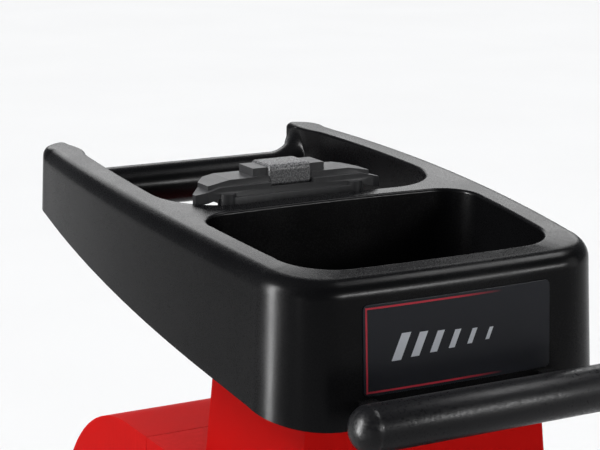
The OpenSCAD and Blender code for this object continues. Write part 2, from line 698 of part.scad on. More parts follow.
module base_side() {
    inner = 164;
    skin = 188;
    difference() {
        union() {
            block([skin, base_d[0], panel_low], [base_half - 4, base_d[1], deck_low]);
            difference() {
                block([skin, base_d[0], panel_low], [base_half, base_d[1], deck_low]);
                block([base_half - 4, base_d[0] + 30, 150], [base_half + 1, base_d[1] - 30, 400]);
            }
            for (i = [0 : 4]) // ribs across the sunk field
                block([base_half - 5, base_d[0] + 30, 192 + 40 * i], [base_half - 1, base_d[1] - 30, 198 + 40 * i]);
            for (d = [base_d[0], base_d[1] - post])
                block([inner, d, panel_low], [skin + 1, d + post, deck_low]);
            block([inner, base_d[0], panel_low], [skin + 1, arch_d[0], arch_z]);
            block([inner, arch_d[1], panel_low], [skin + 1, base_d[1], arch_z]);
            along_x(axle_d, wheel_radius, inner, skin + 1, 22);
            block([151, base_d[0] + 20, 398], [skin + 1, base_d[1] - 20, 409.6]);
        }
        block([inner - 20, arch_d[0], panel_low - 1], [base_half + 1, arch_d[1], arch_z]);
        along_x(axle_d, wheel_radius, inner - 1, base_half + 1, 8.02);
    }
}
module base_side_right() color(plastic_black) placed() base_side();
module base_side_left() color(plastic_black) placed() mirror([1, 0, 0]) base_side();

module base_rear_beam() color(plastic_black) placed() difference() {
    block([-163.98, 506, 60], [163.98, 520, 130]);
    block([-150, 505, 70], [150, 516, 120]);
}

module wheel_axles() color(steel) placed() for (s = [-1, 1]) mirror([s < 0 ? 1 : 0, 0, 0]) {
    along_x(axle_d, wheel_radius, 160, base_half + wheel_gap + hub_length + 1, 8);
    along_x(axle_d, wheel_radius, 152, 160, 13);
    along_x(axle_d, wheel_radius, base_half + wheel_gap + hub_length + 0.5, base_half + wheel_gap + hub_length + 5, 14);
}

wheel_gap = 4;
hub_length = 33;
tyre_inner = 70;
module tyre() difference() {
    along_x(axle_d, wheel_radius, base_half + wheel_gap, base_half + wheel_gap + wheel_width, wheel_radius, 96);
    along_x(axle_d, wheel_radius, base_half, base_half + 60, tyre_inner, 96);
    for (i = [0 : 23]) translate([base_half + wheel_gap + wheel_width / 2, axle_d, wheel_radius])
        rotate([15 * i, 0, 0]) translate([0, 0, wheel_radius]) cube([wheel_width - 14, 6, 8], center = true);
}

module rim() difference() {
    union() {
        difference() {
            along_x(axle_d, wheel_radius, base_half + wheel_gap + 1, base_half + wheel_gap + wheel_width - 1, tyre_inner - 0.02, 96);
            along_x(axle_d, wheel_radius, base_half, base_half + 60, tyre_inner - 7, 96);
        }
        along_x(axle_d, wheel_radius, base_half + wheel_gap, base_half + wheel_gap + hub_length, 17);
        for (i = [0 : 4]) translate([base_half + wheel_gap + 8, axle_d, wheel_radius]) rotate([72 * i, 0, 0])
            translate([0, -7, 10]) cube([20, 14, tyre_inner - 14]);
    }
    along_x(axle_d, wheel_radius, base_half, base_half + 60, 8.06);
}
module wheel_right_tyre() color(rubber_black) placed() tyre();
module wheel_right_rim() color(plastic_red) placed() rim();
module wheel_left_tyre() color(rubber_black) placed() mirror([1, 0, 0]) tyre();
module wheel_left_rim() color(plastic_red) placed() mirror([1, 0, 0]) rim();

module front_feet() color(rubber_black) placed()
    for (x = [-182, 182]) translate([x, 60, 0]) {
        cylinder(r = 17, h = 18);
        translate([0, 0, 18]) cylinder(r = 13, h = panel_low - 18);
    }

// ---------------------------------------------------------------- collection box
box_d = [4, 480];
box_low = 46;
box_high = 416;
box_half = 148;

module collection_box() color(plastic_black) placed() difference() {
    union() {
        block([-box_half, box_d[0], box_low], [box_half, box_d[1], box_high]);
        block([-box_half - 10, box_d[0], box_high - 6], [box_half + 10, box_d[1], box_high]);
        block([-160, box_d[0] - 8, 40], [160, box_d[0], 430]);
    }
    block([-box_half + 3, box_d[0] + 3, box_low + 3], [box_half - 3, box_d[1] - 3, box_high + 1]);
    for (i = [0 : 8]) // air slots in the front
        block([-112 + 26 * i, box_d[0] - 9, 110], [-96 + 26 * i, box_d[0] + 4, 230]);
    for (x = [-70, 70]) along_y(x, 330, box_d[0] - 9, box_d[0] + 4, 3.02);
}

module box_handle() color(plastic_red) placed() {
    front = box_d[0] - 8;
    for (x = [-70, 70]) {
        along_y(x, 330, front - 26, front, 8);
        along_y(x, 330, front, front + 10, 3);
    }
    along_x(front - 34, 330, -82, 82, 11);
}

// Slide in the deck's keepers. Pushed down, it stands behind the box's front and holds the box.
module box_latch() color(plastic_red) placed() {
    block([-16, 6, 431.5], [16, base_d[0] - 0.3, 472]);
    block([-11, -3, 456], [11, 6, 472]);
}

hopper();
hopper_funnel();
rear_grip();
front_grip();
front_grip_brackets();
front_badge();
pusher_blade();
pusher_head();
pusher_grip();
pusher_holder();
hopper_screws();
front_housing();
motor_cover();
cover_screws();
vent_grilles();
switch_panel();
start_button();
stop_button();
direction_knob();
reset_button();
mains_inlet();
inlet_pins();
feed_chute();
cutter_frame();
counter_plate();
adjusting_screw();
adjusting_knob();
screw_bush();
roller_shaft();
cutting_roller();
shaft_bearings();
gearbox_case();
gearbox_cover();
gearbox_bolts();
output_gear();
idler_shaft();
idler_gear();
idler_pinion();
motor_pinion();
motor_shaft();
motor_rotor();
motor_stator();
motor_can();
motor_end_cap();
cooling_fan();
run_capacitor();
motor_cradle();
base_deck();
base_side_left();
base_side_right();
base_rear_beam();
wheel_axles();
wheel_left_tyre();
wheel_left_rim();
wheel_right_tyre();
wheel_right_rim();
front_feet();
collection_box();
box_handle();
box_latch();
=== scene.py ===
import json
import math

import bmesh
import bpy
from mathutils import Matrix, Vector
from mathutils.geometry import delaunay_2d_cdt


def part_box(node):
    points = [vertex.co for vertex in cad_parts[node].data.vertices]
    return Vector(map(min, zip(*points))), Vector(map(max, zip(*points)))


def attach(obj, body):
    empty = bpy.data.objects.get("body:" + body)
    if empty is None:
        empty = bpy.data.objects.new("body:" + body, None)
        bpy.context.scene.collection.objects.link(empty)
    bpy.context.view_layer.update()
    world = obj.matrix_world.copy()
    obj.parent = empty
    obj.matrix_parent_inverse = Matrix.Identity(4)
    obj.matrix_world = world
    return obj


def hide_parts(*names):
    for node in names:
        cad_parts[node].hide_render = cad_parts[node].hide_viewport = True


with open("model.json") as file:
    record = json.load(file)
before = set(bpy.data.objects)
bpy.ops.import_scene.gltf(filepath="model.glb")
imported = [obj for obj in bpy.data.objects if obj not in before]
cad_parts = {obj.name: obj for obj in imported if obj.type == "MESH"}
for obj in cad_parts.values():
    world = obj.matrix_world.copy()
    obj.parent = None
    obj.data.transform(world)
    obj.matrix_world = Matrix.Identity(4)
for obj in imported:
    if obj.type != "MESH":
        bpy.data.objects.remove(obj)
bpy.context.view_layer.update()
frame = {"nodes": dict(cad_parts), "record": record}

NODES = frame["nodes"]
MM = 0.001

# ------------------------------------------------------------------ where things are
HOPPER_LOW, HOPPER_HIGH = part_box("hopper")
FRONT = HOPPER_LOW.y                  # the hopper's front face
LENGTH = HOPPER_HIGH.y - FRONT
HALF = HOPPER_HIGH.x                  # half width of the hopper, where it is widest
BAR_LOW, BAR_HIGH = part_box("rear_grip")
GRIP_LOW, GRIP_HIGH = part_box("front_grip")
BADGE_LOW, BADGE_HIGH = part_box("front_badge")
FUNNEL_LOW, FUNNEL_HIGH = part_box("hopper_funnel")


# ------------------------------------------------------------------ mesh helpers
def add_object(name, mesh, body, material):
    """Puts a mesh in the scene as a piece that rides on a body."""
    piece = bpy.data.objects.new(name, mesh)
    bpy.context.scene.collection.objects.link(piece)
    mesh.materials.clear()
    mesh.materials.append(material)
    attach(piece, body)
    return piece


def mesh_from(name, points, faces):
    """A mesh with its faces turned outwards and shaded smooth."""
    mesh = bpy.data.meshes.new(name)
    mesh.from_pydata([tuple(p) for p in points], [], faces)
    bm = bmesh.new()
    bm.from_mesh(mesh)
    bmesh.ops.remove_doubles(bm, verts=bm.verts, dist=1e-6)
    bmesh.ops.recalc_face_normals(bm, faces=bm.faces)
    bm.to_mesh(mesh)
    bm.free()
    mesh.shade_smooth()
    return mesh


def ring_faces(count, first, second):
    """Quads between two closed rings of the same number of points."""
    return [
        (first + i, first + (i + 1) % count, second + (i + 1) % count, second + i)
        for i in range(count)
    ]


def smooth_by_angle(mesh, degrees):
    mesh.shade_smooth()
    mesh.set_sharp_from_angle(angle=math.radians(degrees))


def add_bevel(piece, width, segments=3, degrees=30):
    """Rounds a piece's sharp edges and keeps its flat faces flat."""
    bevel = piece.modifiers.new("edges", "BEVEL")
    bevel.width = width
    bevel.segments = segments
    bevel.limit_method = "ANGLE"
    bevel.angle_limit = math.radians(degrees)
    bevel.harden_normals = True
    bevel.miter_outer = "MITER_ARC"


def rounded_copy(node, body, material, width, segments=3, degrees=30):
    """A copy of a CAD node whose edges are rounded, standing for that node."""
    mesh = NODES[node].data.copy()
    bm = bmesh.new()
    bm.from_mesh(mesh)
    bmesh.ops.remove_doubles(bm, verts=bm.verts, dist=2e-6)
    bmesh.ops.dissolve_limit(bm, angle_limit=math.radians(1.0), verts=bm.verts, edges=bm.edges)
    bm.to_mesh(mesh)
    bm.free()
    mesh.name = node + "_rounded"
    smooth_by_angle(mesh, degrees)
    piece = add_object(node + "_rounded", mesh, body, material)
    add_bevel(piece, width, segments, degrees)
    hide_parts(node)


# ------------------------------------------------------------------ materials
class Graph:
    """Short calls that build one material's nodes."""

    def __init__(self, name):
        self.material = bpy.data.materials.new(name)
        self.material.use_nodes = True
        self.nodes = self.material.node_tree.nodes
        self.links = self.material.node_tree.links
        self.shader = self.nodes["Principled BSDF"]
        self.place = self.add("ShaderNodeTexCoord").outputs["Object"]

    def add(self, kind, **settings):
        node = self.nodes.new(kind)
        for key, value in settings.items():
            setattr(node, key, value)
        return node

    def join(self, source, socket):
        self.links.new(source, socket)

    def set(self, **values):
        for key, value in values.items():
            self.shader.inputs[key.replace("_", " ")].default_value = value

    def stretched(self, x, y, z):
        mapping = self.add("ShaderNodeMapping")
        mapping.inputs["Scale"].default_value = (x, y, z)
        self.join(self.place, mapping.inputs["Vector"])
        return mapping.outputs["Vector"]

    def noise(self, size, detail=2.0, roughness=0.5, place=None):
        node = self.add("ShaderNodeTexNoise")
        node.inputs["Scale"].default_value = 1 / size
        node.inputs["Detail"].default_value = detail
        node.inputs["Roughness"].default_value = roughness
        self.join(place or self.place, node.inputs["Vector"])
        return node.outputs["Fac"]

    def spread(self, value, low, high, to_low, to_high):
        node = self.add("ShaderNodeMapRange")
        for socket, number in zip(node.inputs[1:5], (low, high, to_low, to_high)):
            socket.default_value = number
        self.join(value, node.inputs["Value"])
        return node.outputs["Result"]

    def math(self, operation, a, b=None):
        node = self.add("ShaderNodeMath", operation=operation)
        for socket, value in zip(node.inputs, (a, b)):
            if isinstance(value, (int, float)):
                socket.default_value = value
            elif value is not None:
                self.join(value, socket)
        return node.outputs[0]

    def blend(self, factor, a, b):
        node = self.add("ShaderNodeMix", data_type="RGBA")
        self.join(factor, node.inputs["Factor"])
        for socket, value in ((node.inputs[6], a), (node.inputs[7], b)):
            if isinstance(value, tuple):
                socket.default_value = (*value, 1)
            else:
                self.join(value, socket)
        return node.outputs[2]

    def bump(self, height, distance):
        node = self.add("ShaderNodeBump")
        node.inputs["Distance"].default_value = distance
        node.inputs["Strength"].default_value = 1
        self.join(height, node.inputs["Height"])
        return node.outputs["Normal"]

    def edges(self, low=0.52, high=0.6):
        """One on convex edges, nought on flat faces."""
        pointiness = self.add("ShaderNodeNewGeometry").outputs["Pointiness"]
        return self.spread(pointiness, low, high, 0, 1)


def plastic(
    name, colour, rough=0.4, grain=1.2 * MM, depth=0.03 * MM, specular=0.5,
    worn=1.6, speckle=0.06, tone=0.12,
):
    """Moulded plastic: fine grain, uneven sheen, slow colour drift and paler worn edges."""
    g = Graph(name)
    g.set(IOR=1.5, Specular_IOR_Level=specular)
    drift = g.noise(90 * MM, 3)
    fine = g.noise(grain, 3, 0.6)
    base = g.blend(
        g.spread(drift, 0.3, 0.7, 0, 1),
        tuple(c * (1 - tone) for c in colour), tuple(min(1, c * (1 + tone)) for c in colour),
    )
    scuff = g.noise(6 * MM, 4, 0.65, g.stretched(1, 1, 0.25))
    wear = g.math("MULTIPLY", g.edges(), g.spread(scuff, 0.45, 0.7, 0, 0.55))
    pale = tuple(min(1, c * worn + 0.01) for c in colour)
    g.join(g.blend(wear, base, pale), g.shader.inputs["Base Color"])
    sheen = g.math(
        "ADD", g.spread(drift, 0.3, 0.7, rough - 0.04, rough + 0.04),
        g.spread(fine, 0.3, 0.7, -speckle, speckle),
    )
    g.join(g.math("ADD", sheen, g.math("MULTIPLY", wear, 0.15)), g.shader.inputs["Roughness"])
    g.join(g.bump(fine, depth), g.shader.inputs["Normal"])
    return g.material


def metal(name, colour, rough=0.35, brush=(1, 1, 1), depth=0.01 * MM, grain=1 * MM):
    """Machined or cast metal, with tool marks drawn out along the axis where brush is small."""
    g = Graph(name)
    g.set(Metallic=1.0)
    marks = g.noise(grain, 4, 0.6, g.stretched(*brush))
    tarnish = g.noise(25 * MM, 4)
    base = g.blend(
        g.spread(tarnish, 0.35, 0.7, 0, 1), colour, tuple(c * 0.75 for c in colour)
    )
    g.join(base, g.shader.inputs["Base Color"])
    g.join(g.spread(marks, 0.25, 0.75, rough - 0.1, rough + 0.12), g.shader.inputs["Roughness"])
    g.join(g.bump(marks, depth), g.shader.inputs["Normal"])
    return g.material


def rubber(name, colour, rough=0.7, grain=1.5 * MM, depth=0.06 * MM, dust=0.25):
    """Rubber with a dry, dusty tone in cloudy patches."""
    g = Graph(name)
    g.set(Specular_IOR_Level=0.35)
    fine = g.noise(grain, 4, 0.65)
    cloud = g.noise(30 * MM, 5)
    dusty = tuple(c * (1 - dust) + 0.12 * dust for c in colour)
    g.join(g.blend(g.spread(cloud, 0.4, 0.75, 0, 1), colour, dusty), g.shader.inputs["Base Color"])
    g.join(g.spread(fine, 0.25, 0.75, rough - 0.08, rough + 0.1), g.shader.inputs["Roughness"])
    g.join(g.bump(fine, depth), g.shader.inputs["Normal"])
    return g.material


def flecked(name, dark, light, size):
    """Soft plastic with pale flecks in a dark ground."""
    g = Graph(name)
    g.set(IOR=1.5, Specular_IOR_Level=0.25)
    flecks = g.noise(size, 3, 0.6)
    g.join(g.blend(g.spread(flecks, 0.42, 0.62, 0, 1), dark, light), g.shader.inputs["Base Color"])
    g.join(g.spread(flecks, 0.3, 0.7, 0.6, 0.4), g.shader.inputs["Roughness"])
    g.join(g.bump(flecks, 0.12 * MM), g.shader.inputs["Normal"])
    return g.material


BLACK = (0.0045, 0.0045, 0.005)
RED = (0.55, 0.007, 0.006)

hopper_plastic = plastic("hopper_plastic", BLACK, rough=0.27, depth=0.022 * MM, specular=0.05, worn=2.5)
grip_soft = plastic(
    "grip_soft", (0.008, 0.008, 0.009), rough=0.36, grain=2.2 * MM, depth=0.14 * MM,
    speckle=0.12, specular=0.1,
)
pusher_plastic = plastic("pusher_plastic", (0.05, 0.05, 0.052), rough=0.4, specular=0.1)
pusher_soft = flecked("pusher_soft", (0.02, 0.02, 0.022), (0.2, 0.2, 0.205), 1.6 * MM)
trim_black = plastic("trim_black", (0.011, 0.011, 0.012), rough=0.5, depth=0.05 * MM, specular=0.1)
body_red = plastic(
    "body_red", RED, rough=0.4, grain=2.5 * MM, depth=0.006 * MM, specular=0.004,
    worn=1.15, speckle=0.02, tone=0.03,
)
button_green = plastic("button_green", (0.01, 0.22, 0.05), rough=0.3, worn=1.2)
button_red = plastic("button_red", (0.5, 0.008, 0.006), rough=0.3, worn=1.2, specular=0.1)
base_black = plastic(
    "base_black", (0.017, 0.017, 0.018), rough=0.5, grain=1.6 * MM, depth=0.08 * MM, specular=0.1
)
box_grey = plastic(
    "box_grey", (0.032, 0.033, 0.036), rough=0.5, grain=1.6 * MM, depth=0.08 * MM, specular=0.1
)
wheel_red = plastic("wheel_red", (0.45, 0.01, 0.008), rough=0.38, worn=1.2, specular=0.1)
capacitor_white = plastic("capacitor_white", (0.7, 0.7, 0.7), rough=0.4, worn=1.0)
tyre_rubber = rubber("tyre", (0.016, 0.016, 0.016))
foot_rubber = rubber("foot_rubber", (0.02, 0.02, 0.02), dust=0.35)
steel = metal("steel", (0.5, 0.5, 0.51), rough=0.28, brush=(1, 0.08, 1))
zinc_steel = metal("zinc_steel", (0.62, 0.62, 0.63), rough=0.32)
cast_alu = metal("cast_alu", (0.55, 0.56, 0.57), rough=0.48, depth=0.08 * MM, grain=2 * MM)
cast_steel = metal("cast_steel", (0.22, 0.22, 0.23), rough=0.42, depth=0.08 * MM, grain=2 * MM)
brass_pins = metal("brass_pins", (0.72, 0.6, 0.34), rough=0.25)
winding = metal("winding", (0.5, 0.22, 0.08), rough=0.4, brush=(1, 0.1, 1), depth=0.1 * MM)
motor_black = plastic("motor_black", (0.02, 0.02, 0.02), rough=0.35, depth=0.04 * MM)


def badge_plate():
    """Blue-black plate with a thin red outline that fades to the right, and plain slanted bars."""
    g = Graph("badge")
    g.set(Specular_IOR_Level=0.12)
    split = g.add("ShaderNodeSeparateXYZ")
    g.join(g.place, split.inputs[0])
    x, z = split.outputs["X"], split.outputs["Z"]
    left, low, high = BADGE_LOW.x + 2 * MM, BADGE_LOW.z + 2 * MM, BADGE_HIGH.z - 2 * MM
    line = 0.8 * MM                       # half the outline's width
    inside = g.math("GREATER_THAN", x, left - line)
    fade = g.spread(x, -5 * MM, 42 * MM, 1, 0)
    rows = [g.math("LESS_THAN", g.math("ABSOLUTE", g.math("SUBTRACT", z, at)), line) for at in (low, high)]
    row = g.math("MULTIPLY", g.math("MULTIPLY", g.math("MAXIMUM", *rows), fade), inside)
    side = g.math("LESS_THAN", g.math("ABSOLUTE", g.math("SUBTRACT", x, left)), line)
    within = g.math(
        "LESS_THAN", g.math("ABSOLUTE", g.math("SUBTRACT", z, (low + high) / 2)), (high - low) / 2 + line
    )
    outline = g.math("MAXIMUM", row, g.math("MULTIPLY", side, within))
    # slanted bars, each shorter than the last
    lean = g.math("SUBTRACT", x, g.math("MULTIPLY", g.math("SUBTRACT", z, (low + high) / 2), 0.45))
    bars = None
    for i in range(6):
        middle = BADGE_LOW.x + (34 + 17 * i) * MM
        wide = g.math("LESS_THAN", g.math("ABSOLUTE", g.math("SUBTRACT", lean, middle)), (4.4 - 0.5 * i) * MM)
        tall = g.math(
            "LESS_THAN", g.math("ABSOLUTE", g.math("SUBTRACT", z, (low + high) / 2)), (11 - 1.2 * i) * MM
        )
        bar = g.math("MULTIPLY", wide, tall)
        bars = g.math("MAXIMUM", bars, bar) if bars else bar
    ground = g.blend(g.noise(40 * MM, 2), (0.0024, 0.0035, 0.0075), (0.0036, 0.0052, 0.011))
    drawn = g.blend(outline, ground, (0.5, 0.02, 0.04))
    g.join(g.blend(bars, drawn, (0.62, 0.64, 0.68)), g.shader.inputs["Base Color"])
    g.join(g.spread(g.noise(2 * MM, 3), 0.3, 0.7, 0.28, 0.36), g.shader.inputs["Roughness"])
    return g.material


# ------------------------------------------------------------------ hopper outlines
# Depths are behind the hopper's front face. All in metres.
WIDEST = 300 * MM          # where the hopper is widest
SIDE_BOW = 2.5 * MM        # fall of the half width, per 100 mm squared, away from there
END_BOW = 2 * MM           # bow of the front face, per 100 mm squared of x
BASIN_BOW = 3 * MM         # bow of the basin's back edge
GAP_BOW = 3.3 * MM         # bow of the divider's edge towards the arms
RIM_REFERENCE = 166 * MM
RIM_HEIGHT = 930 * MM      # there
RIM_RISE = 7.2 * MM        # per 100 mm of depth, at the reference
RIM_CROWN = 0.7 * MM       # how fast that rise falls off, per 100 mm squared
SKIRT_LOW = 798 * MM       # the skirt's lower edge at the front
SKIRT_RISE = 0.1656        # its slope
SKIRT_LEAN = 0.045         # how far the skirt leans out, per length down
EDGE_ROLL = 16 * MM        # radius of the rolled outer edge
TIP_ROLL = 6.5 * MM        # the same at the arms' ends
INNER_ROLL = 3 * MM        # radius of the edges round the openings
RIM_BAND = 34 * MM         # from the skirt to the openings
DIVIDER_FRONT = 215 * MM
DIVIDER_BACK = 234 * MM
BASIN_FRONT = 28 * MM
ARM_INNER = 127.6 * MM     # half the room between the arms where the push bar is
ARM_CUT = 490 * MM         # where that room starts
WALL = 3.2 * MM
PER_100 = 100 * MM


def side(d, inset=0.0):
    return HALF - inset - SIDE_BOW * ((d - WIDEST) / PER_100) ** 2


def rim_z(d):
    t = (d - RIM_REFERENCE) / PER_100
    return RIM_HEIGHT + RIM_RISE * t - RIM_CROWN * t * t


def skirt_z(d):
    droop = 5 * MM * max(0.0, 1 - d / (110 * MM)) ** 2
    return SKIRT_LOW + SKIRT_RISE * d - droop


def arc(cx, cy, radius, start, end, steps):
    """Points along an arc, angles in degrees."""
    angles = [math.radians(start + (end - start) * i / steps) for i in range(steps + 1)]
    return [(cx + radius * math.cos(a), cy + radius * math.sin(a)) for a in angles]


def mirrored_loop(right):
    """A closed loop from its right half, whose first and last points lie on the middle plane."""
    return right + [(-x, y) for x, y in reversed(right[1:-1])]


def outward(loop, sign):
    """A loop's unit normals, from each point's neighbours. Sign 1 points out of an anticlockwise loop."""
    count = len(loop)
    normals = []
    for i in range(count):
        (ax, ay), (bx, by) = loop[i - 1], loop[(i + 1) % count]
        n = Vector((by - ay, ax - bx)).normalized() * sign
        normals.append(n)
    return normals


def basin_loop():
    front_r, back_r = 48 * MM, 32 * MM
    inset = RIM_BAND
    c0 = side(BASIN_FRONT + front_r, inset) - front_r
    c1 = side(DIVIDER_FRONT - back_r, inset) - back_r
    y0 = BASIN_FRONT + END_BOW * (c0 / PER_100) ** 2 + front_r
    y1 = DIVIDER_FRONT - BASIN_BOW * (c1 / PER_100) ** 2 - back_r
    right = [(c0 * i / 6, BASIN_FRONT + END_BOW * (c0 * i / 6 / PER_100) ** 2) for i in range(6)]
    right += arc(c0, y0, front_r, -90, 0, 14)
    right += [(side(y0 + (y1 - y0) * i / 10, inset), y0 + (y1 - y0) * i / 10) for i in range(1, 10)]
    right += arc(c1, y1, back_r, 0, 90, 12)
    across_back = [c1 * (1 - i / 6) for i in range(1, 7)]
    right += [(x, DIVIDER_FRONT - BASIN_BOW * (x / PER_100) ** 2) for x in across_back]
    return mirrored_loop(right)


def body_loop():
    """The right half of the hopper's outside: the skirt, the arm's end and the space between the arms."""
    front_r, back_r, tip_r, gap_r = 55 * MM, 42 * MM, 8 * MM, 62 * MM
    c0 = side(front_r) - front_r
    y0 = END_BOW * (c0 / PER_100) ** 2 + front_r
    c1 = side(LENGTH - back_r) - back_r
    y1 = LENGTH - back_r
    right = [(c0 * i / 6, END_BOW * (c0 * i / 6 / PER_100) ** 2) for i in range(6)]
    right += arc(c0, y0, front_r, -90, 0, 18)
    right += [(side(y0 + (y1 - y0) * i / 24), y0 + (y1 - y0) * i / 24) for i in range(1, 24)]
    # the small arc touches the large one from inside
    tip_x = ARM_INNER + tip_r
    tip_y = y1 + math.sqrt((back_r - tip_r) ** 2 - (tip_x - c1) ** 2)
    meet = math.degrees(math.atan2(tip_y - y1, tip_x - c1))
    right += arc(c1, y1, back_r, 0, meet, 12)
    tip = len(right)
    right += arc(tip_x, tip_y, tip_r, meet, 180, 12)[1:]
    gap_y = DIVIDER_BACK + gap_r
    gap_x = side(gap_y, RIM_BAND) - gap_r
    bend = DIVIDER_BACK - GAP_BOW * (gap_x / PER_100) ** 2
    stop = bend + gap_r
    for i in range(1, 24):
        d = tip_y + (stop - tip_y) * i / 24
        near_tip = smoothstep(d, ARM_CUT - 20 * MM, ARM_CUT + 10 * MM)
        right.append((side(d, RIM_BAND) * (1 - near_tip) + ARM_INNER * near_tip, d))
    right += arc(gap_x, stop, gap_r, 0, -90, 16)
    across_gap = [gap_x * (1 - i / 6) for i in range(1, 7)]
    right += [(x, DIVIDER_BACK - GAP_BOW * (x / PER_100) ** 2) for x in across_gap]
    return right, tip


def smoothstep(value, low, high):
    t = min(1.0, max(0.0, (value - low) / (high - low)))
    return t * t * (3 - 2 * t)


def body_roll(point, index, tip):
    """Radius of the rolled edge at a point of the body's outline. The arm's end arc starts at tip."""
    d = point[1]
    if index <= tip:
        return EDGE_ROLL - (EDGE_ROLL - TIP_ROLL) * smoothstep(d, LENGTH - 50 * MM, LENGTH - 12 * MM)
    return INNER_ROLL + (TIP_ROLL - INNER_ROLL) * smoothstep(d, LENGTH - 40 * MM, LENGTH - 18 * MM)


def hopper_skin():
    """The hopper's outer face as one open sheet, from the skirt's edge over the rim into the basin."""
    right, tip = body_loop()
    rolls = [body_roll(p, i, tip) for i, p in enumerate(right)]
    loop = mirrored_loop(right)
    rolls = rolls + list(reversed(rolls[1:-1]))
    normals = outward(loop, 1)
    count = len(loop)
    points, faces, rings = [], [], []

    def add_ring(new):
        rings.append(len(points))
        points.extend(new)

    arcs = 8
    for step in range(arcs + 1):
        angle = math.pi / 2 * step / arcs
        ring = []
        for (x, d), n, roll in zip(loop, normals, rolls):
            back = -roll * (1 - math.sin(angle))
            ring.append((x + n.x * back, FRONT + d + n.y * back, rim_z(d) - roll * (1 - math.cos(angle))))
        add_ring(ring)
    falls = 8
    for step in range(1, falls + 1):
        ring = []
        for (x, d), n, roll in zip(loop, normals, rolls):
            top_z = rim_z(d) - roll
            low_z = skirt_z(d)
            f = step / falls
            z = top_z + (low_z - top_z) * f
            # fully round the skirt, a quarter as much at the arms' ends and between the arms
            share = 1 if n.y < 0.6 and roll >= 9 * MM else 0.25
            lean = SKIRT_LEAN * (top_z - z) * share
            ring.append((x + n.x * lean, FRONT + d + n.y * lean, z))
        add_ring(ring)
    for a, b in zip(rings, rings[1:]):
        faces += ring_faces(count, a, b)
    outer_edge = list(range(count))

    basin = basin_loop()
    inward = outward(basin, -1)
    basin_rings = []
    steps = 5
    for step in range(steps + 1):
        angle = math.pi / 2 * step / steps
        start = len(points)
        for (x, d), n in zip(basin, inward):
            back = -INNER_ROLL * (1 - math.sin(angle))
            z = rim_z(d) - INNER_ROLL * (1 - math.cos(angle))
            points.append((x + n.x * back, FRONT + d + n.y * back, z))
        basin_rings.append(start)
    for step in range(1, 7):
        start = len(points)
        for (x, d), n in zip(basin, inward):
            top_z = rim_z(d) - INNER_ROLL
            z = top_z + (FUNNEL_HIGH.z - top_z) * step / 6
            lean = 0.03 * (top_z - z)
            points.append((x + n.x * lean, FRONT + d + n.y * lean, z))
        basin_rings.append(start)
    for a, b in zip(basin_rings, basin_rings[1:]):
        faces += ring_faces(len(basin), a, b)
    basin_edge = list(range(basin_rings[0], basin_rings[0] + len(basin)))

    # the flat rim between the two edges
    boundary = outer_edge + basin_edge
    flat = [Vector(points[i][:2]) for i in boundary]
    edges = [(i, (i + 1) % count) for i in range(count)]
    edges += [(count + i, count + (i + 1) % len(basin)) for i in range(len(basin))]
    made = delaunay_2d_cdt(flat, edges, [], 1, 1e-7)
    outline = [Vector(points[i][:2]) for i in outer_edge]
    hole = [Vector(points[i][:2]) for i in basin_edge]
    index = []
    for co, origins in zip(made[0], made[3]):
        if origins:
            index.append(boundary[origins[0]])
        else:
            index.append(len(points))
            points.append((co.x, co.y, rim_z(co.y - FRONT)))
    for face in made[2]:
        middle = sum((made[0][i] for i in face), Vector((0, 0))) / len(face)
        if inside(middle, outline) and not inside(middle, hole):
            faces.append(tuple(index[i] for i in face))
    return points, faces


def inside(point, polygon):
    """True if a point lies in a polygon."""
    result = False
    for i in range(len(polygon)):
        a, b = polygon[i - 1], polygon[i]
        if (a.y > point.y) != (b.y > point.y):
            if point.x < (b.x - a.x) * (point.y - a.y) / (b.y - a.y) + a.x:
                result = not result
    return result


def build_hopper():
    points, faces = hopper_skin()
    mesh = mesh_from("hopper_shell", points, faces)
    piece = add_object("hopper_shell", mesh, "chipper", hopper_plastic)
    # the sheet's faces must look out of the plastic before it is thickened inwards
    top = max(mesh.polygons, key=lambda p: p.area if abs(p.normal.z) > 0.9 else 0)
    if top.normal.z < 0:
        mesh.flip_normals()
    thick = piece.modifiers.new("wall", "SOLIDIFY")
    thick.thickness = WALL
    thick.offset = -1
    add_bevel(piece, 0.8 * MM, 2, 50)
    weighted = piece.modifiers.new("flat", "WEIGHTED_NORMAL")
    weighted.keep_sharp = True
    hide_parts("hopper")


